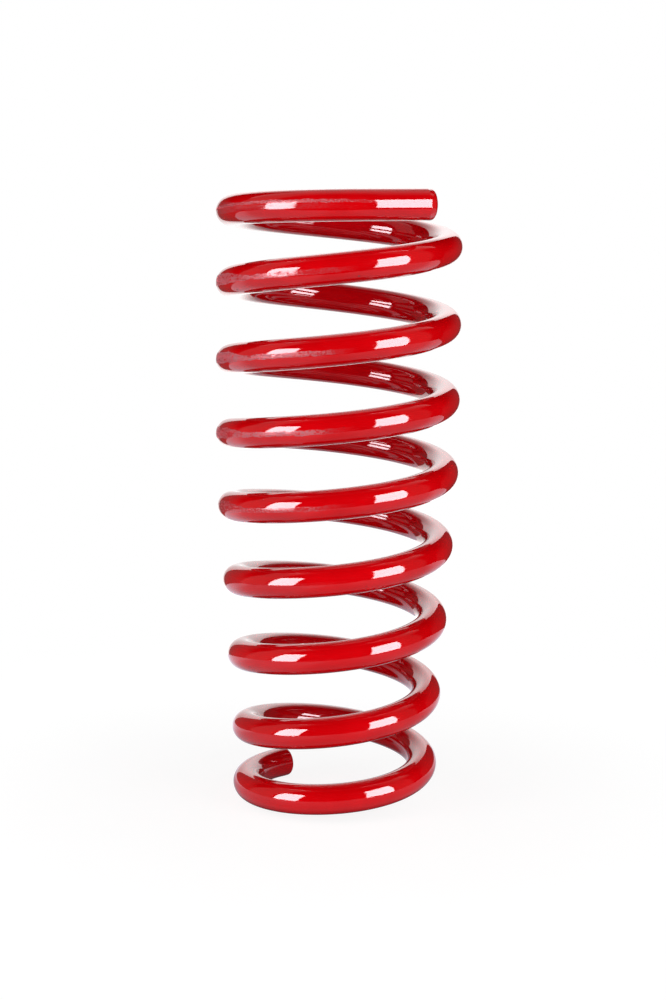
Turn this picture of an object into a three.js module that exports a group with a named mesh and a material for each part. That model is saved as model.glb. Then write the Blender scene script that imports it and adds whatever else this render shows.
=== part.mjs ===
// Coil spring for a car's suspension: one round steel bar wound into a right-hand helix that narrows
// towards its lower end, with open, unground ends. The bar is divided square across its own centre
// line into rigid lengths: a dead coil at each end, and quarter turns between them. Each length
// twists a little against the next about the bar, which is how a coil spring shortens.
//
// Millimetres, +Z up along the spring's axis, origin on the axis at the level of the bar's lowest
// side. A bearing is counted round the axis from -Y towards +X.

import * as THREE from 'three';

// The bar
const BAR_DIAMETER = 14;
const SIDES = 16;                 // flats round the bar
const CUT_CHAMFER = 0.8;          // broken edge of the two sheared bar ends
const JOINT_GAP = 0.3;            // between the faces of neighbouring lengths

// The winding, counted in turns from the lower tip
const LOWER_TIP_BEARING = -145;   // degrees
const UPPER_TANGENT_BEARING = 18.5; // degrees, where the upper end leaves the coil in a straight line
const WHOLE_TURNS = 8;
const TURNS = WHOLE_TURNS + (UPPER_TANGENT_BEARING - LOWER_TIP_BEARING) / 360;
const UPPER_TAIL = 26.5;          // straight length past the last turn

// Radius of the bar's centre line: narrow, a straight taper, then wide
const LOWER_RADIUS = 41.4;
const UPPER_RADIUS = 49.7;
const TAPER_START = 0.98;         // turns
const TAPER_END = 4.5;            // turns
const TAPER_ROUNDING = 0.12;      // share of the taper that each of its two bends takes

// Rise of the centre line
const PITCH = 34.9;               // millimetres a turn
const PITCH_DRIFT = 0.9;          // slow wander of the pitch, from the winding machine
const DRIFT_PEAK = 2.5;           // turns
const DRIFT_PERIOD = 5.04;        // turns
const LOWER_EASE = 0.957;         // turns over which the pitch grows from nothing at the lower tip
const UPPER_EASE = 0.946;         // turns over which it fades towards the upper end
const UPPER_LEAD = 0.065;         // turns by which the fade would run on past the last turn

// The division into rigid lengths
const DEAD_TURNS = 0.65;          // each end coil, which lies in its seat and doesn't flex
const ACTIVE_COILS = 7;
const LENGTHS_PER_COIL = 4;
const STEPS_PER_TURN = 32;        // rings of vertices along a full turn

// Gloss red paint over steel
const PAINT = { color: 0xc80d14, roughness: 0.22, metalness: 0.0 };

const TWO_PI = 2 * Math.PI;
const HEIGHT_SAMPLES_PER_TURN = 400;

function clamp01(value) {
  return Math.min(1, Math.max(0, value));
}

// Rises from 0 with slope 1, with the corner at 0 rounded over +-rounding.
function roundedRise(value, rounding) {
  if (value <= -rounding) return 0;
  if (value >= rounding) return value;
  return (value + rounding) ** 2 / (4 * rounding);
}

// Radius of the centre line at a number of turns from the lower tip.
function radiusAt(turn) {
  const along = (turn - TAPER_START) / (TAPER_END - TAPER_START);
  const share = roundedRise(along, TAPER_ROUNDING) - roundedRise(along - 1, TAPER_ROUNDING);
  return LOWER_RADIUS + (UPPER_RADIUS - LOWER_RADIUS) * share;
}

// Millimetres that the centre line climbs per turn.
function riseAt(turn) {
  const wander = PITCH_DRIFT * Math.cos((TWO_PI * (turn - DRIFT_PEAK)) / DRIFT_PERIOD);
  const fromBelow = Math.sin((Math.PI / 2) * clamp01(turn / LOWER_EASE));
  const fromAbove = Math.sin((Math.PI / 2) * clamp01((TURNS + UPPER_LEAD - turn) / UPPER_EASE));
  return (PITCH + wander) * Math.min(fromBelow, fromAbove);
}

// Heights of the centre line, added up once along the whole winding.
const heights = [BAR_DIAMETER / 2];
const sampleCount = Math.ceil(TURNS * HEIGHT_SAMPLES_PER_TURN);
const sampleTurns = TURNS / sampleCount;
for (let i = 0; i < sampleCount; i += 1) {
  const middle = (i + 0.5) * sampleTurns;
  heights.push(heights[i] + riseAt(middle) * sampleTurns);
}

function heightAt(turn) {
  const place = THREE.MathUtils.clamp(turn / sampleTurns, 0, sampleCount);
  const below = Math.min(sampleCount - 1, Math.floor(place));
  return THREE.MathUtils.lerp(heights[below], heights[below + 1], place - below);
}

function bearingAt(turn) {
  return THREE.MathUtils.degToRad(LOWER_TIP_BEARING) + TWO_PI * turn;
}

// The direction of the wound bar at a number of turns, from the slopes of its radius and height.
function directionAt(turn) {
  const step = 1e-4;
  const bearing = bearingAt(turn);
  const radius = radiusAt(turn);
  const widening = (radiusAt(turn + step) - radiusAt(turn - step)) / (2 * step);
  const outward = new THREE.Vector3(Math.sin(bearing), -Math.cos(bearing), 0);
  const around = new THREE.Vector3(Math.cos(bearing), Math.sin(bearing), 0);
  const direction = outward.clone().multiplyScalar(widening);
  direction.addScaledVector(around, TWO_PI * radius);
  direction.z = riseAt(turn);
  return direction.normalize();
}

// A place on the centre line and the square section's two directions there. Past the last turn
// the bar runs straight on, and `beyond` is the length along that straight tail.
function stationAt(turn, beyond = 0) {
  const bearing = bearingAt(turn);
  const radius = radiusAt(turn);
  const direction = directionAt(turn);
  const centre = new THREE.Vector3(radius * Math.sin(bearing), -radius * Math.cos(bearing), heightAt(turn));
  centre.addScaledVector(direction, beyond);
  const outward = new THREE.Vector3(Math.sin(bearing), -Math.cos(bearing), 0);
  outward.addScaledVector(direction, -outward.dot(direction)).normalize();
  const upward = new THREE.Vector3().crossVectors(outward, direction);
  return { centre, direction, outward, upward };
}

// Vertices of one ring round the bar. The flats face straight out, in, up and down, and the
// section has the area of a true circle.
function ringPoints(station, inset) {
  const corner = TWO_PI / SIDES;
  const equalArea = Math.sqrt(corner / Math.sin(corner));
  const radius = (BAR_DIAMETER / 2) * equalArea - inset;
  const points = [];
  for (let i = 0; i < SIDES; i += 1) {
    const angle = (i + 0.5) * corner;
    const point = station.centre.clone();
    point.addScaledVector(station.outward, radius * Math.cos(angle));
    point.addScaledVector(station.upward, radius * Math.sin(angle));
    points.push(point);
  }
  return points;
}

// A closed length of bar through a row of rings, with a flat face at each end.
function barGeometry(rings) {
  const vertices = rings.flat();
  const positions = vertices.flatMap((vertex) => vertex.toArray());
  const triangles = [];
  for (let ring = 0; ring < rings.length - 1; ring += 1) {
    for (let i = 0; i < SIDES; i += 1) {
      const a = ring * SIDES + i;
      const b = ring * SIDES + ((i + 1) % SIDES);
      triangles.push(a, a + SIDES, b, b, a + SIDES, b + SIDES);
    }
  }
  const lastRing = (rings.length - 1) * SIDES;
  for (let i = 1; i < SIDES - 1; i += 1) {
    triangles.push(0, i, i + 1);
    triangles.push(lastRing, lastRing + i + 1, lastRing + i);
  }
  const geometry = new THREE.BufferGeometry();
  geometry.setAttribute('position', new THREE.Float32BufferAttribute(positions, 3));
  geometry.setIndex(triangles);
  geometry.computeVertexNormals();
  return geometry;
}

// Turns that a distance along the bar takes up at a number of turns.
function turnsOf(distance, turn) {
  return distance / Math.hypot(TWO_PI * radiusAt(turn), riseAt(turn));
}

// Rings of a stretch of winding from one number of turns to another.
function windingRings(from, to) {
  const steps = Math.max(2, Math.round((to - from) * STEPS_PER_TURN));
  const rings = [];
  for (let i = 0; i <= steps; i += 1) {
    const turn = THREE.MathUtils.lerp(from, to, i / steps);
    rings.push(ringPoints(stationAt(turn), 0));
  }
  return rings;
}

// The lower dead coil: from the sheared tip to the first place where the bar twists.
function lowerEndCoil(cut) {
  const chamferTurns = turnsOf(CUT_CHAMFER, 0);
  const end = cut - turnsOf(JOINT_GAP / 2, cut);
  const tip = ringPoints(stationAt(0), CUT_CHAMFER);
  return barGeometry([tip, ...windingRings(chamferTurns, end)]);
}

// A quarter turn between two places where the bar twists.
function quarterTurn(from, to) {
  const start = from + turnsOf(JOINT_GAP / 2, from);
  const end = to - turnsOf(JOINT_GAP / 2, to);
  return barGeometry(windingRings(start, end));
}

// The upper dead coil with its straight tail and sheared end.
function upperEndCoil(cut) {
  const start = cut + turnsOf(JOINT_GAP / 2, cut);
  const tailMiddle = ringPoints(stationAt(TURNS, UPPER_TAIL / 2), 0);
  const shoulder = ringPoints(stationAt(TURNS, UPPER_TAIL - CUT_CHAMFER), 0);
  const face = ringPoints(stationAt(TURNS, UPPER_TAIL), CUT_CHAMFER);
  return barGeometry([...windingRings(start, TURNS), tailMiddle, shoulder, face]);
}

function paintedMesh(name, geometry) {
  const mesh = new THREE.Mesh(geometry, new THREE.MeshStandardMaterial(PAINT));
  mesh.name = name;
  return mesh;
}

const lengthCount = ACTIVE_COILS * LENGTHS_PER_COIL;
const lengthTurns = (TURNS - 2 * DEAD_TURNS) / lengthCount;

const group = new THREE.Group();
group.name = 'coil_spring';
group.add(paintedMesh('lower_end_coil', lowerEndCoil(DEAD_TURNS)));
for (let i = 0; i < lengthCount; i += 1) {
  const coil = Math.floor(i / LENGTHS_PER_COIL) + 1;
  const quarter = (i % LENGTHS_PER_COIL) + 1;
  const from = DEAD_TURNS + i * lengthTurns;
  group.add(paintedMesh(`coil_${coil}_quarter_${quarter}`, quarterTurn(from, from + lengthTurns)));
}
group.add(paintedMesh('upper_end_coil', upperEndCoil(TURNS - DEAD_TURNS)));

export default group;
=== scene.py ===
import math

import bpy
import numpy as np
from mathutils import Matrix, Vector


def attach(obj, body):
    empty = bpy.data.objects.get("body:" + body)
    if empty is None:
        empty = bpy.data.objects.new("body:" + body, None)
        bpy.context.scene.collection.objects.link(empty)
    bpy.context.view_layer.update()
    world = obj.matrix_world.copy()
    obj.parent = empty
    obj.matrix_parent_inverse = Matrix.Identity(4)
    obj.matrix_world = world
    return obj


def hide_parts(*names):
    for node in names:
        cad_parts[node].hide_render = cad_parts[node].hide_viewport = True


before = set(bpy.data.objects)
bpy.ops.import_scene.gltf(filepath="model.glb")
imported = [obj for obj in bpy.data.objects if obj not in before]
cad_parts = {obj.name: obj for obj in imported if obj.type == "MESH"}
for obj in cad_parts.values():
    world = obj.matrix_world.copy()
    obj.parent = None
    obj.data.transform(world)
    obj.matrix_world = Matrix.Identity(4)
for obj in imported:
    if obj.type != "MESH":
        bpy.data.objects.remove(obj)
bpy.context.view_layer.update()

MM = 0.001

# The bar and its coils, as the CAD source has them. Lengths are in millimetres and
# distances along the bar are counted in turns from the lower tip.
BAR_RADIUS = 7.0
LOWER_TIP_BEARING = -145.0
UPPER_TANGENT_BEARING = 18.5
WHOLE_TURNS = 8
TURNS = WHOLE_TURNS + (UPPER_TANGENT_BEARING - LOWER_TIP_BEARING) / 360
UPPER_TAIL = 26.5
LOWER_RADIUS = 41.4
UPPER_RADIUS = 49.7
TAPER_START = 0.98
TAPER_END = 4.5
TAPER_ROUNDING = 0.12
PITCH = 34.9
PITCH_DRIFT = 0.9
DRIFT_PEAK = 2.5
DRIFT_PERIOD = 5.04
LOWER_EASE = 0.957
UPPER_EASE = 0.946
UPPER_LEAD = 0.065
DEAD_TURNS = 0.65
LENGTHS = 28
LENGTHS_PER_COIL = 4

# How finely the visual bar is meshed, and the shape of its sheared ends.
HEIGHT_SAMPLES = 16001
ARC_SAMPLES = 8001
AROUND = 72
STEPS_PER_TURN = 180
EDGE_ROUNDING = 1.4
EDGE_STEPS = 6
ROLL_LENGTH = 4.0
ROLL_STEPS = 8
ROLL_DEPTH = 0.22
ROLL_CLEARANCE = 0.3
TORN_DEPTH = 0.22
HOLLOW_DEPTH = 0.10
RIPPLES = 7
RIPPLE_DEPTH = 0.022
# The rings of points on an end face, as shares of its radius.
CUT_FACE_RINGS = (0.86, 0.72, 0.58, 0.44, 0.30, 0.16)
PLAIN_FACE_RINGS = (0.5,)

# ---------------------------------------------------------------- centreline


def rise_rate(turn):
    """Millimetres of height per turn at a place along the bar."""
    drift = PITCH_DRIFT * np.cos(2 * np.pi * (turn - DRIFT_PEAK) / DRIFT_PERIOD)
    lower = np.clip(turn / LOWER_EASE, 0, 1)
    upper = np.clip((TURNS - turn + UPPER_LEAD) / UPPER_EASE, 0, 1)
    ease = np.minimum(np.sin(np.pi / 2 * lower), np.sin(np.pi / 2 * upper))
    return (PITCH + drift) * ease


HEIGHT_TURNS = np.linspace(0, TURNS, HEIGHT_SAMPLES)
_rates = rise_rate(HEIGHT_TURNS)
_steps = (_rates[1:] + _rates[:-1]) / 2 * np.diff(HEIGHT_TURNS)
HEIGHTS = BAR_RADIUS + np.concatenate(([0.0], np.cumsum(_steps)))


def rounded(x):
    """A ramp that starts at 0 with a rounded foot."""
    w = TAPER_ROUNDING
    foot = (x + w) ** 2 / (4 * w)
    return np.where(x <= -w, 0.0, np.where(x >= w, x, foot))


def coil_radius(turn):
    share = (turn - TAPER_START) / (TAPER_END - TAPER_START)
    grown = rounded(share) - rounded(share - 1)
    return LOWER_RADIUS + (UPPER_RADIUS - LOWER_RADIUS) * grown


def helix_point(turn):
    bearing = math.radians(LOWER_TIP_BEARING) + 2 * np.pi * turn
    r = coil_radius(turn)
    z = np.interp(turn, HEIGHT_TURNS, HEIGHTS)
    return np.stack([r * np.sin(bearing), -r * np.cos(bearing), z], axis=-1)


def helix_tangent(turn):
    """Unit tangents, from the slopes of the radius and the height."""
    e = 1e-4
    bearing = math.radians(LOWER_TIP_BEARING) + 2 * np.pi * turn
    r = coil_radius(turn)
    dr = (coil_radius(turn + e) - coil_radius(turn - e)) / (2 * e)
    s, c = np.sin(bearing), np.cos(bearing)
    flat = 2 * np.pi * r
    d = np.stack([dr * s + flat * c, -dr * c + flat * s, rise_rate(turn)], axis=-1)
    return d / np.linalg.norm(d, axis=-1, keepdims=True)


TAIL_ALONG = helix_tangent(np.array(TURNS))
_fine = helix_point(np.linspace(0, TURNS, ARC_SAMPLES))
_lengths = np.linalg.norm(np.diff(_fine, axis=0), axis=1)
ARC = np.concatenate(([0.0], np.cumsum(_lengths)))
ARC_TURNS = np.linspace(0, TURNS, ARC_SAMPLES)
HELIX_LENGTH = float(ARC[-1])
BAR_LENGTH = HELIX_LENGTH + UPPER_TAIL


def along_bar(s):
    """Points, tangents and the outward and upward directions at distances along the bar, in mm."""
    s = np.asarray(s, float)
    turn = np.interp(s, ARC, ARC_TURNS)
    past = np.clip(s - HELIX_LENGTH, 0, None)[:, None]
    before = np.clip(s, None, 0)[:, None]
    t = helix_tangent(turn)
    p = helix_point(turn) + past * TAIL_ALONG + before * t
    bearing = math.radians(LOWER_TIP_BEARING) + 2 * np.pi * turn
    outward = np.stack([np.sin(bearing), -np.cos(bearing), np.zeros_like(bearing)], axis=-1)
    outward -= (outward * t).sum(1, keepdims=True) * t
    outward /= np.linalg.norm(outward, axis=1, keepdims=True)
    upward = np.cross(outward, t)
    upward *= np.sign(upward[:, 2:3])
    return p, t, outward, upward


def distance_at(turn):
    return float(np.interp(turn, ARC_TURNS, ARC))


# ------------------------------------------------------------------- pieces


def cut_profile():
    """A sheared end from its face inwards: distance inside the face, radius, and lean of the surface towards
    the end. First comes a rounded, painted edge, and then the roll-over where the shear drew the bar down."""
    angles = np.linspace(0, np.pi / 2, EDGE_STEPS + 1)
    roll = np.linspace(EDGE_ROUNDING, ROLL_LENGTH, ROLL_STEPS + 1)[1:]
    inside = np.concatenate([EDGE_ROUNDING * (1 - np.cos(angles)), roll])
    drawn = ROLL_DEPTH * ((ROLL_LENGTH - inside) / ROLL_LENGTH) ** 2
    slope = np.arctan(2 * ROLL_DEPTH * (ROLL_LENGTH - inside) / ROLL_LENGTH**2)
    corner = np.concatenate([EDGE_ROUNDING * (1 - np.sin(angles)), np.zeros(len(roll))])
    lean = np.concatenate([np.pi / 2 - angles, np.zeros(len(roll))])
    return inside, BAR_RADIUS - corner - drawn, np.sin(np.minimum(lean + slope, np.pi / 2))


def face_relief(a, b, seed):
    """How far a sheared face lies inside its plane: a smooth shear land beside a rougher torn part."""
    rng = np.random.default_rng(seed)
    r = np.hypot(a, b) / BAR_RADIUS
    torn = 1 / (1 + np.exp(-(b + 1.2) / 0.5))
    dip = TORN_DEPTH * torn + HOLLOW_DEPTH * (1 - r**2)
    for _ in range(RIPPLES):
        k = rng.uniform(0.5, 1.9)
        turn = rng.uniform(0, 2 * np.pi)
        across = a * np.cos(turn) + b * np.sin(turn)
        dip = dip + RIPPLE_DEPTH * torn * (1 + np.sin(k * across + rng.uniform(0, 6.28)))
    return dip * np.clip((1 - r) / 0.12, 0, 1)


def bar_piece(name, start, end, cut_start=False, cut_end=False, seed=1):
    """A closed length of bar between two distances, cut square at a neighbour and sheared at a free end."""
    n = max(2, int(round((end - start) / (2 * np.pi * UPPER_RADIUS) * STEPS_PER_TURN)))
    inside, edge_radius, edge_lean = cut_profile()
    s = np.linspace(start, end, n + 1)
    if cut_start:
        s = np.concatenate([start + inside, s[s > start + ROLL_LENGTH + ROLL_CLEARANCE]])
    if cut_end:
        s = np.concatenate([s[s < end - ROLL_LENGTH - ROLL_CLEARANCE], (end - inside)[::-1]])
    radius = np.full(len(s), BAR_RADIUS)
    lean = np.zeros(len(s))
    if cut_start:
        radius[: len(edge_radius)] = edge_radius
        lean[: len(edge_radius)] = -edge_lean
    if cut_end:
        radius[-len(edge_radius):] = edge_radius[::-1]
        lean[-len(edge_radius):] = edge_lean[::-1]
    p, t, out, up = along_bar(s)
    phi = np.linspace(0, 2 * np.pi, AROUND, endpoint=False)
    radial = np.cos(phi)[None, :, None] * out[:, None, :] + np.sin(phi)[None, :, None] * up[:, None, :]
    rings = p[:, None, :] + radius[:, None, None] * radial
    ring_normals = np.sqrt(1 - lean**2)[:, None, None] * radial + lean[:, None, None] * t[:, None, :]
    verts = [rings.reshape(-1, 3)]
    side_a, side_b = radius[:, None] * np.cos(phi), radius[:, None] * np.sin(phi)
    place = [np.stack(np.broadcast_arrays(s[:, None], side_a, side_b), -1).reshape(-1, 3)]
    normals = [ring_normals.reshape(-1, 3)]
    m = len(s)
    faces = []
    for i in range(m - 1):
        for j in range(AROUND):
            k = (j + 1) % AROUND
            faces.append((i * AROUND + j, i * AROUND + k, (i + 1) * AROUND + k, (i + 1) * AROUND + j))
    side_faces = len(faces)
    total = m * AROUND
    for at_end, cut, ring in ((False, cut_start, 0), (True, cut_end, m - 1)):
        sign = 1.0 if at_end else -1.0
        shares = CUT_FACE_RINGS if cut else PLAIN_FACE_RINGS
        base = ring * AROUND
        for share in shares:
            r = radius[ring] * share
            a, b = r * np.cos(phi), r * np.sin(phi)
            dip = face_relief(a, b, seed) if cut else np.zeros(AROUND)
            in_plane = p[ring] + a[:, None] * out[ring] + b[:, None] * up[ring]
            verts.append(in_plane - sign * dip[:, None] * t[ring])
            place.append(np.stack([np.full(AROUND, s[ring]) - sign * dip, a, b], -1))
            normals.append(np.broadcast_to(sign * t[ring], (AROUND, 3)))
            for j in range(AROUND):
                k = (j + 1) % AROUND
                quad = (base + j, base + k, total + k, total + j)
                faces.append(quad[::-1] if not at_end else quad)
            base = total
            total += AROUND
        dip = float(face_relief(np.zeros(1), np.zeros(1), seed)[0]) if cut else 0.0
        verts.append((p[ring] - sign * dip * t[ring])[None])
        place.append(np.array([[s[ring] - sign * dip, 0.0, 0.0]]))
        normals.append((sign * t[ring])[None])
        for j in range(AROUND):
            k = (j + 1) % AROUND
            tri = (base + j, base + k, total)
            faces.append(tri[::-1] if not at_end else tri)
        total += 1
    verts = np.concatenate(verts) * MM
    place = np.concatenate(place) * MM
    normals = np.concatenate(normals)
    mesh = bpy.data.meshes.new(name)
    mesh.from_pydata(verts.tolist(), [], faces)
    if orientation(mesh) < 0:
        mesh.flip_normals()
    mesh.polygons.foreach_set("use_smooth", np.ones(len(mesh.polygons), bool))
    bar_space = mesh.attributes.new("bar_space", "FLOAT_VECTOR", "POINT")
    bar_space.data.foreach_set("vector", place.astype(np.float32).ravel())
    loops = []
    for poly in mesh.polygons:
        side = poly.index < side_faces
        for v in poly.vertices:
            if side:
                loops.append(tuple(normals[v]))
            elif (cut_start or cut_end) and v < m * AROUND and radius[v // AROUND] < BAR_RADIUS:
                loops.append(tuple(normals[v]))
            else:
                loops.append((0.0, 0.0, 0.0) if (cut_start or cut_end) else tuple(poly.normal))
    mesh.normals_split_custom_set(loops)
    unroll(mesh, place)
    obj = bpy.data.objects.new(name, mesh)
    bpy.context.scene.collection.objects.link(obj)
    return obj


def orientation(mesh):
    """Positive where the faces look outwards: the signed volume of the closed mesh."""
    total = 0.0
    for poly in mesh.polygons:
        first, *rest = [mesh.vertices[v].co for v in poly.vertices]
        for b, c in zip(rest, rest[1:]):
            total += first.dot(b.cross(c))
    return total


def unroll(mesh, place):
    """A UV map with U along the bar and V around it, in bar circumferences."""
    uv = mesh.uv_layers.new(name="unrolled")
    girth = 2 * math.pi * BAR_RADIUS * MM
    data = np.zeros((len(mesh.loops), 2), np.float32)
    for poly in mesh.polygons:
        vs = list(poly.vertices)
        v_around = np.arctan2(place[vs, 2], place[vs, 1]) / (2 * np.pi)
        if v_around.max() - v_around.min() > 0.5:
            v_around = np.where(v_around < 0, v_around + 1, v_around)
        for loop, u, v in zip(poly.loop_indices, place[vs, 0] / girth, v_around):
            data[loop] = (u, v)
    uv.data.foreach_set("uv", data.ravel())


# ---------------------------------------------------------------- materials


class Nodes:
    """Short names for the shader nodes that the paint and the sky are made of."""

    def __init__(self, tree):
        self.tree = tree
        tree.nodes.clear()

    def new(self, kind, **settings):
        node = self.tree.nodes.new(kind)
        for key, value in settings.items():
            setattr(node, key, value)
        return node

    def put(self, socket, value):
        if isinstance(value, bpy.types.NodeSocket):
            self.tree.links.new(value, socket)
        else:
            socket.default_value = value

    def math(self, operation, *values, clamp=False):
        node = self.new("ShaderNodeMath", operation=operation, use_clamp=clamp)
        for socket, value in zip(node.inputs, values):
            self.put(socket, value)
        return node.outputs[0]

    def vector(self, operation, *values):
        node = self.new("ShaderNodeVectorMath", operation=operation)
        for socket, value in zip(node.inputs, values):
            self.put(socket, value)
        return node.outputs["Value" if operation == "LENGTH" else "Vector"]

    def ramp(self, value, low, high, to_low=0.0, to_high=1.0):
        """Turns low..high smoothly into to_low..to_high."""
        node = self.new("ShaderNodeMapRange", interpolation_type="SMOOTHSTEP")
        for socket, v in zip(node.inputs, (value, low, high, to_low, to_high)):
            self.put(socket, v)
        return node.outputs[0]

    def window(self, value, low, high, edge):
        """1 between low and high, 0 outside, with soft edges."""
        up = self.ramp(value, low - edge / 2, low + edge / 2)
        down = self.ramp(value, high - edge / 2, high + edge / 2, 1.0, 0.0)
        return self.math("MULTIPLY", up, down)

    def noise(self, coords, scale, detail=2.0, rough=0.5):
        node = self.new("ShaderNodeTexNoise")
        self.put(node.inputs["Vector"], coords)
        self.put(node.inputs["Scale"], scale)
        self.put(node.inputs["Detail"], detail)
        self.put(node.inputs["Roughness"], rough)
        return node.outputs["Fac"]

    def mix(self, factor, a, b):
        node = self.new("ShaderNodeMix", data_type="RGBA")
        self.put(node.inputs["Factor"], factor)
        self.put([s for s in node.inputs if s.name == "A" and s.type == "RGBA"][0], a)
        self.put([s for s in node.inputs if s.name == "B" and s.type == "RGBA"][0], b)
        return [s for s in node.outputs if s.type == "RGBA"][0]


def paint_material():
    """Glossy red enamel over the steel bar, with orange peel, thin spots, dusty rub marks and small chips, and
    painted shade on the inner side of the coils.
    """
    mat = bpy.data.materials.new("red_enamel")
    mat.use_nodes = True
    n = Nodes(mat.node_tree)
    output = n.new("ShaderNodeOutputMaterial")
    bsdf = n.new("ShaderNodeBsdfPrincipled")
    n.tree.links.new(bsdf.outputs[0], output.inputs["Surface"])

    bar = n.new("ShaderNodeAttribute", attribute_name="bar_space").outputs["Vector"]
    place = n.new("ShaderNodeTexCoord").outputs["Object"]
    streaks = n.vector("MULTIPLY", bar, (0.18, 1.0, 1.0))

    # slow changes of film thickness and shade
    broad = n.noise(bar, 60, 2)
    fine = n.noise(bar, 420, 3)
    red = n.mix(n.ramp(broad, 0.3, 0.7), (0.53, 0.0003, 0.0021, 1), (0.60, 0.0006, 0.0029, 1))
    red = n.mix(n.ramp(fine, 0.35, 0.8, 0.0, 0.25), red, (0.49, 0.0012, 0.0038, 1))

    # painted shade: the red is darker on the inner side of the coils, standing in for the shade inside the
    # coil
    section = n.new("ShaderNodeSeparateXYZ")
    n.put(section.inputs[0], bar)
    along, outward, upward = section.outputs
    painted_bore_shade = n.ramp(outward, -0.005, 0.002, 0.50, 0.0)
    red = n.mix(painted_bore_shade, red, (0.25, 0.0004, 0.0030, 1))

    # rub marks: the outermost line of the coils, on the side where springs touch in their box
    split = n.new("ShaderNodeSeparateXYZ")
    n.put(split.inputs[0], place)
    height = split.outputs[2]
    frontward = n.math("MULTIPLY", split.outputs[1], -1.0)
    bearing = n.math("DEGREES", n.math("ARCTAN2", split.outputs[0], frontward))
    around = n.math("DEGREES", n.math("ARCTAN2", upward, outward))
    ragged = n.noise(n.vector("MULTIPLY", bar, (0.5, 1, 1)), 420, 4, 0.6)
    patches = n.noise(n.vector("MULTIPLY", bar, (0.5, 1, 1)), 110, 3, 0.6)
    grain = n.noise(streaks, 700, 4, 0.65)
    grit = n.noise(bar, 1050, 3, 0.7)

    def band(centre, half):
        """1 near a line along the bar, that many degrees around it, with a ragged edge."""
        off = n.math("ABSOLUTE", n.math("SUBTRACT", around, centre))
        edge = n.math("ADD", half, n.math("MULTIPLY", n.math("SUBTRACT", ragged, 0.5), 16.0))
        return n.ramp(n.math("SUBTRACT", edge, off), 0.0, 3.0)

    top_coil = n.ramp(height, 0.258, 0.268)
    left = n.ramp(bearing, -125, -98)
    reach = n.math("MULTIPLY", left, n.ramp(bearing, -20, 10, 1.0, 0.0))
    upper = n.ramp(height, 0.10, 0.19, 0.06, 1.0)
    worn = n.math("MULTIPLY", n.math("MULTIPLY", reach, upper), n.ramp(top_coil, 0.0, 1.0, 1.0, 0.35))
    rub = band(n.ramp(bearing, -64, -46, 3.5, -2.0), n.ramp(bearing, -66, -46, 23.0, 10.5))
    rub = n.math("MULTIPLY", n.math("MULTIPLY", rub, worn), n.ramp(patches, 0.30, 0.50, 0.40, 1.0))
    lean = n.math("POWER", n.math("ABSOLUTE", n.math("ADD", bearing, 20.0)), 2.0)
    streak = band(n.math("SUBTRACT", 17.5, n.math("MULTIPLY", lean, 0.0035)), 7.5)
    streak = n.math("MULTIPLY", n.math("MULTIPLY", streak, top_coil), n.ramp(bearing, -15, 38, 0.75, 0.0))
    streak = n.math("MULTIPLY", streak, left)
    flecks = n.math("MULTIPLY", n.ramp(grain, 0.32, 0.58, 0.65, 1.0), n.ramp(grit, 0.36, 0.60, 0.35, 1.0))
    scuff = n.math("MULTIPLY", n.math("MAXIMUM", rub, streak), flecks, clamp=True)

    # a few fine dust specks and chips all over
    cells = n.new("ShaderNodeTexVoronoi", feature="F1")
    n.put(cells.inputs["Vector"], bar)
    n.put(cells.inputs["Scale"], 210.0)
    chance = n.new("ShaderNodeSeparateColor")
    n.put(chance.inputs[0], cells.outputs["Color"])
    rare = n.ramp(chance.outputs[0], 0.93, 0.96)
    speck = n.math("MULTIPLY", rare, n.ramp(cells.outputs["Distance"], 0.06, 0.14, 1.0, 0.0))

    colour = n.mix(n.math("MULTIPLY", scuff, 0.92), red, (0.27, 0.088, 0.108, 1))
    colour = n.mix(n.math("MULTIPLY", speck, 0.75), colour, (0.10, 0.012, 0.014, 1))
    n.put(bsdf.inputs["Base Color"], colour)

    gloss = n.ramp(n.noise(bar, 150, 3), 0.3, 0.7, 0.035, 0.065)
    rough = n.math("MAXIMUM", gloss, n.ramp(scuff, 0.15, 0.70, 0.04, 0.65))
    rough = n.math("MAXIMUM", rough, n.math("MULTIPLY", speck, 0.5))
    n.put(bsdf.inputs["Roughness"], rough)
    bsdf.inputs["IOR"].default_value = 1.5
    bsdf.inputs["Metallic"].default_value = 0.0

    peel = n.new("ShaderNodeBump")
    n.put(peel.inputs["Height"], n.noise(bar, 300, 2, 0.5))
    peel.inputs["Strength"].default_value = 1.0
    peel.inputs["Distance"].default_value = 0.000010
    waves = n.new("ShaderNodeBump")
    n.put(waves.inputs["Height"], n.noise(n.vector("MULTIPLY", bar, (0.7, 1, 1)), 90, 2, 0.5))
    waves.inputs["Strength"].default_value = 1.0
    waves.inputs["Distance"].default_value = 0.00005
    n.put(waves.inputs["Normal"], peel.outputs[0])
    marks = n.new("ShaderNodeBump")
    n.put(marks.inputs["Height"], n.math("SUBTRACT", n.math("MULTIPLY", scuff, n.noise(bar, 1500, 2)), speck))
    marks.inputs["Strength"].default_value = 1.0
    marks.inputs["Distance"].default_value = 0.00002
    n.put(marks.inputs["Normal"], waves.outputs[0])
    # the last millimetres of the upper end turn away from the lights, as if the shear had drawn them down
    start = n.math("ADD", (BAR_LENGTH - 3.6) * MM, n.math("MULTIPLY", ragged, 0.0008))
    past_start = n.math("MAXIMUM", n.math("SUBTRACT", along, start), 0.0)
    drawn = n.new("ShaderNodeBump")
    n.put(drawn.inputs["Height"], n.math("MULTIPLY", past_start, -0.33))
    drawn.inputs["Strength"].default_value = 1.0
    drawn.inputs["Distance"].default_value = 1.0
    n.put(drawn.inputs["Normal"], marks.outputs[0])
    n.put(bsdf.inputs["Normal"], drawn.outputs[0])
    return mat


# ------------------------------------------------------------- build pieces

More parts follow.
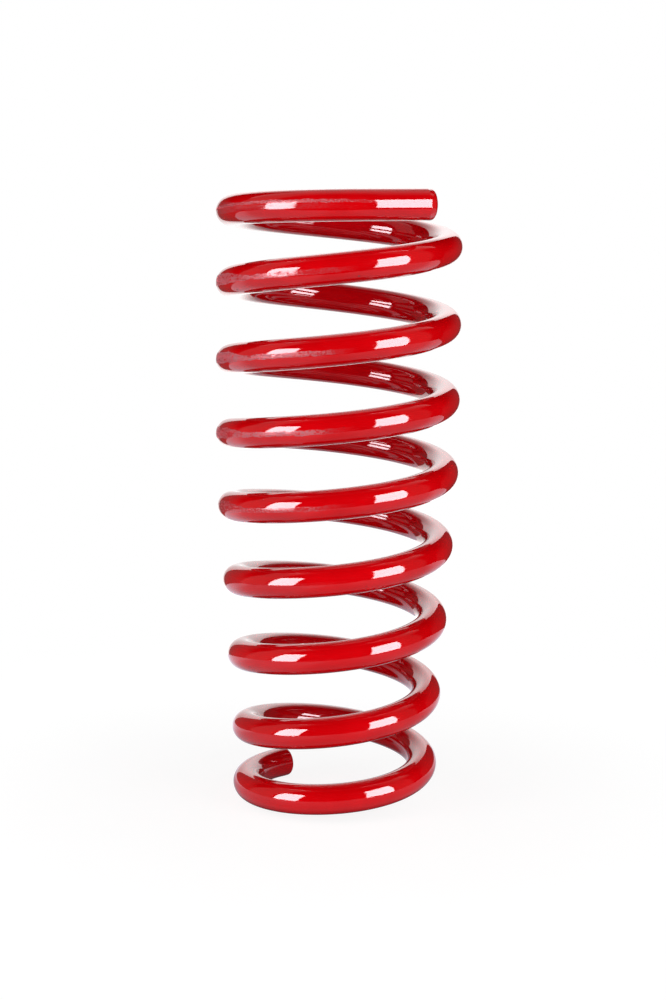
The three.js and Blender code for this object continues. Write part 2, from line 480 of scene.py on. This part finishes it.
RED = paint_material()
stations = [distance_at(DEAD_TURNS + k * (TURNS - 2 * DEAD_TURNS) / LENGTHS) for k in range(LENGTHS + 1)]
lengths = [("lower_end_coil", 0.0, stations[0], True, False)]
for k in range(LENGTHS):
    coil, quarter = divmod(k, LENGTHS_PER_COIL)
    lengths.append((f"coil_{coil + 1}_quarter_{quarter + 1}", stations[k], stations[k + 1], False, False))
lengths.append(("upper_end_coil", stations[-1], BAR_LENGTH, False, True))

for node, start, end, cut_start, cut_end in lengths:
    piece = bar_piece("painted_" + node, start, end, cut_start, cut_end, seed=7 if cut_start else 3)
    piece.data.materials.append(RED)
    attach(piece, node)
    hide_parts(node)


# ---------------------------------------------------------- floor and light


def stage_face(name, corners):
    """A flat face that is part of the studio and not of the spring."""
    mesh = bpy.data.meshes.new(name)
    mesh.from_pydata(corners, [], [tuple(range(len(corners)))])
    obj = bpy.data.objects.new(name, mesh)
    bpy.context.scene.collection.objects.link(obj)
    material = bpy.data.materials.new(name)
    material.use_nodes = True
    mesh.materials.append(material)
    return obj, Nodes(material.node_tree)


def mirrored_card(name, corners):
    """A glowing face that only shows as a reflection. Returns its nodes, its place and its emission node."""
    obj, n = stage_face(name, corners)
    obj.visible_camera = False
    obj.visible_diffuse = False
    obj.visible_shadow = False
    output = n.new("ShaderNodeOutputMaterial")
    glow = n.new("ShaderNodeEmission")
    n.tree.links.new(glow.outputs[0], output.inputs["Surface"])
    split = n.new("ShaderNodeSeparateXYZ")
    n.put(split.inputs[0], n.new("ShaderNodeTexCoord").outputs["Object"])
    return n, split.outputs, glow


def pale_floor():
    """A matte white floor that takes the spring's soft shadow and fades into the white background."""
    obj, n = stage_face("floor", [(-30, -30, 0), (30, -30, 0), (30, 30, 0), (-30, 30, 0)])
    obj.visible_glossy = False
    obj.visible_diffuse = False
    output = n.new("ShaderNodeOutputMaterial")
    matte = n.new("ShaderNodeBsdfDiffuse")
    white = n.new("ShaderNodeEmission")
    blend = n.new("ShaderNodeMixShader")
    place = n.new("ShaderNodeTexCoord").outputs["Object"]
    tone = n.ramp(n.noise(place, 30, 3), 0.3, 0.7)
    n.put(matte.inputs["Color"], n.mix(tone, (0.84, 0.84, 0.84, 1), (0.87, 0.87, 0.87, 1)))
    n.put(blend.inputs[0], n.ramp(n.vector("LENGTH", place), 0.06, 0.30, 0.80, 1.0))
    n.put(white.inputs["Strength"], n.ramp(n.vector("LENGTH", place), 0.06, 0.34, 1.10, 1.0))
    n.tree.links.new(matte.outputs[0], blend.inputs[1])
    n.tree.links.new(white.outputs[0], blend.inputs[2])
    n.tree.links.new(blend.outputs[0], output.inputs["Surface"])


def table_card():
    """The white table top that the paint mirrors from below, dim in front of the spring, with a painted shadow
    inside the ring the spring stands on.
    """
    z, side, front, back = -0.0005, 0.9, -0.42, 0.29
    corners = [(-side, front, z), (side, front, z), (side, back, z), (-side, back, z)]
    n, (x, y, _), glow = mirrored_card("table_card", corners)
    left = n.ramp(x, -0.10, -0.02, 0.26, 0.0)
    right = n.ramp(x, 0.02, 0.12, 0.0, 0.18)
    behind = n.ramp(y, 0.02, 0.14, 0.0, 0.50)
    level = n.math("ADD", n.math("ADD", n.math("ADD", left, right), behind), 0.40)
    # painted shadow: the mirrored table is dimmer inside the spring's footprint, for the shade under the
    # spring
    flat = n.vector("LENGTH", n.vector("MULTIPLY", n.new("ShaderNodeTexCoord").outputs["Object"], (1, 1, 0)))
    n.put(glow.inputs["Strength"], n.math("MULTIPLY", level, n.ramp(flat, 0.044, 0.052, 0.25, 1.0)))
    glow.inputs["Color"].default_value = (1.0, 0.98, 1.12, 1)


def wing(name, near, far, radiance):
    """A dim upright flat behind the spring, from near to far in x, that frames the lit wall further back."""
    y, foot, top = 0.33, -0.05, 0.9
    corners = [(near, y, foot), (far, y, foot), (far, y, top), (near, y, top)]
    n, (_, _, z), glow = mirrored_card(name, corners)
    n.put(glow.inputs["Strength"], n.ramp(z, 0.25, 0.50, radiance, 0.0))


pale_floor()
table_card()
wing("wing_left", -0.18, -0.9, 0.12)
wing("wing_right", 0.15, 0.9, 0.06)


# What the paint mirrors, and what lights it, are set apart, so that the highlights can be
# as bright as bare lamps while the red stays in range.
LEFT_AZIMUTH, RIGHT_AZIMUTH = -55.7, 49.3
MIRRORED_AT, LIGHTING_AT = 0.95, 0.98
SIDE_RIM, END_RIM = 0.03, 0.08
HIGHLIGHT = 20.0
PINK_WHITE = (1.0, 0.93, 1.0, 1)
LIGHTING_FOOT, LIGHTING_TOP = -0.02, 0.90
LIGHTING_WIDTH = 0.585


def upright(azimuth, distance):
    """The floor point at an azimuth (0 is the camera's side, positive to the right) and the way across it."""
    a = math.radians(azimuth)
    return Vector((math.sin(a), -math.cos(a), 0)) * distance, Vector((math.cos(a), math.sin(a), 0))


def mirrored_box(name, azimuth, low, high, width, corner):
    """The front of a soft box with its corners cut and its rim dimmer, as the paint mirrors it."""
    foot, across = upright(azimuth, MIRRORED_AT)
    half = width / 2
    outline = [(-half + corner, low), (half - corner, low), (half, low + corner), (half, high - corner),
               (half - corner, high), (-half + corner, high), (-half, high - corner), (-half, low + corner)]
    corners = [tuple(foot + across * u + Vector((0, 0, v))) for u, v in outline]
    n, (x, y, z), glow = mirrored_card(name, corners)
    glow.inputs["Color"].default_value = PINK_WHITE
    off = n.math("ABSOLUTE", n.math("ADD", n.math("MULTIPLY", x, across.x), n.math("MULTIPLY", y, across.y)))
    sides = n.ramp(off, half - SIDE_RIM, half, 1.0, 0.2)
    foot_rim = n.ramp(z, low, low + END_RIM, 0.15, 1.0)
    top_rim = n.ramp(z, high - END_RIM, high, 1.0, 0.15)
    top_and_foot = n.math("MULTIPLY", foot_rim, top_rim)
    n.put(glow.inputs["Strength"], n.math("MULTIPLY", n.math("MULTIPLY", sides, top_and_foot), HIGHLIGHT))


def lighting_box(name, azimuth, radiance):
    """The light of the same soft box on the paint's colour and on the floor."""
    foot, _ = upright(azimuth, LIGHTING_AT)
    tall = LIGHTING_TOP - LIGHTING_FOOT
    data = bpy.data.lights.new(name, "AREA")
    data.shape = "RECTANGLE"
    data.size, data.size_y = LIGHTING_WIDTH, tall
    data.energy = math.pi * radiance * LIGHTING_WIDTH * tall
    obj = bpy.data.objects.new(name, data)
    obj.location = foot + Vector((0, 0, (LIGHTING_FOOT + LIGHTING_TOP) / 2))
    obj.rotation_mode = "QUATERNION"
    obj.rotation_quaternion = foot.to_track_quat("Z", "Y")
    bpy.context.scene.collection.objects.link(obj)
    obj.visible_camera = False
    obj.visible_glossy = False


mirrored_box("mirrored_box_left", LEFT_AZIMUTH, -0.05, 0.86, width=0.52, corner=0.10)
mirrored_box("mirrored_box_right", RIGHT_AZIMUTH, -0.06, 0.92, width=0.57, corner=0.05)
lighting_box("lighting_box_left", LEFT_AZIMUTH, radiance=2.1)
lighting_box("lighting_box_right", RIGHT_AZIMUTH, radiance=2.6)


def sky():
    """The studio around the spring: white to the camera, a fill from the front and the sides for the paint's
    colour, and for its gloss a lit wall and ceiling behind, grey walls at the sides and darkness elsewhere."""
    world = bpy.data.worlds.new("studio")
    bpy.context.scene.world = world
    world.use_nodes = True
    n = Nodes(world.node_tree)
    output = n.new("ShaderNodeOutputWorld")
    look = n.new("ShaderNodeTexCoord").outputs["Generated"]
    split = n.new("ShaderNodeSeparateXYZ")
    n.put(split.inputs[0], look)
    x, y, z = split.outputs
    azimuth = n.math("DEGREES", n.math("ARCTAN2", x, n.math("MULTIPLY", y, -1.0)))
    elevation = n.math("DEGREES", n.math("ARCSINE", z))

    def patch(bearing, span, rise, edge, strength):
        wide = n.window(bearing, span[0], span[1], edge)
        tall = n.window(elevation, rise[0], rise[1], edge)
        return n.math("MULTIPLY", n.math("MULTIPLY", wide, tall), strength)

    seen = patch(azimuth, (-112, -76), (-5, 66), 6, 0.35)
    seen = n.math("MAXIMUM", seen, patch(azimuth, (68, 95), (-20, 70), 6, 0.17))
    # the wall behind is brightest about 25 degrees up
    off_level = n.math("ABSOLUTE", z)
    rise = n.ramp(off_level, 0.05, 0.42, 1.25, 2.4)
    fall = n.ramp(off_level, 0.40, 0.80, 1.0, 0.28)
    wall = n.math("MULTIPLY", n.math("MULTIPLY", rise, fall), n.ramp(x, -0.35, 0.0, 0.8, 1.0))
    seen = n.math("MAXIMUM", seen, patch(n.math("ABSOLUTE", azimuth), (115, 200), (-60, 60), 4, wall))
    ceiling = n.math("MULTIPLY", n.ramp(z, 0.62, 0.85), n.ramp(y, -0.30, 0.40, 0.0, 0.55))
    seen = n.math("MAXIMUM", seen, ceiling)
    path = n.new("ShaderNodeLightPath")
    front = n.math("MAXIMUM", n.math("MULTIPLY", y, -0.95), 0.0)
    sides = n.math("MULTIPLY", n.math("MULTIPLY", x, x), 0.75)
    low = n.math("MULTIPLY", n.window(z, -0.50, -0.02, 0.16), 1.15)
    front = n.math("MULTIPLY", front, n.math("ADD", n.ramp(z, -0.65, -0.35), low))
    fill = n.math("ADD", front, sides)
    strength = n.new("ShaderNodeMix", data_type="FLOAT")
    n.put(strength.inputs[0], path.outputs["Is Glossy Ray"])
    n.put(strength.inputs[2], fill)
    n.put(strength.inputs[3], seen)
    whole = n.new("ShaderNodeMix", data_type="FLOAT")
    n.put(whole.inputs[0], path.outputs["Is Camera Ray"])
    n.put(whole.inputs[2], strength.outputs[0])
    n.put(whole.inputs[3], 1.0)
    background = n.new("ShaderNodeBackground")
    background.inputs["Color"].default_value = (1, 1, 1, 1)
    n.put(background.inputs["Strength"], whole.outputs[0])
    n.tree.links.new(background.outputs[0], output.inputs["Surface"])


sky()

# ------------------------------------------------------------------- camera

CAMERA_PLACE = (-0.00192, -0.9034, 0.28365)
CAMERA_TILT = 8.812
CAMERA_ROLL = 0.512
SENSOR_WIDTH = 36
FOCAL_LENGTH = 70.16
tilt, roll = math.radians(CAMERA_TILT), math.radians(CAMERA_ROLL)
forward = Vector((0, math.cos(tilt), -math.sin(tilt)))
level_right = Vector((1, 0, 0))
level_up = level_right.cross(forward)
right = level_right * math.cos(roll) + level_up * math.sin(roll)
up = level_up * math.cos(roll) - level_right * math.sin(roll)
camera = bpy.data.objects.new("camera", bpy.data.cameras.new("camera"))
bpy.context.scene.collection.objects.link(camera)
camera.data.sensor_width = SENSOR_WIDTH
camera.data.lens = FOCAL_LENGTH
camera.data.clip_start = 0.01
camera.matrix_world = Matrix.Translation(CAMERA_PLACE) @ Matrix((right, up, -forward)).transposed().to_4x4()
bpy.context.scene.camera = camera
bpy.context.scene.view_settings.view_transform = "Standard"
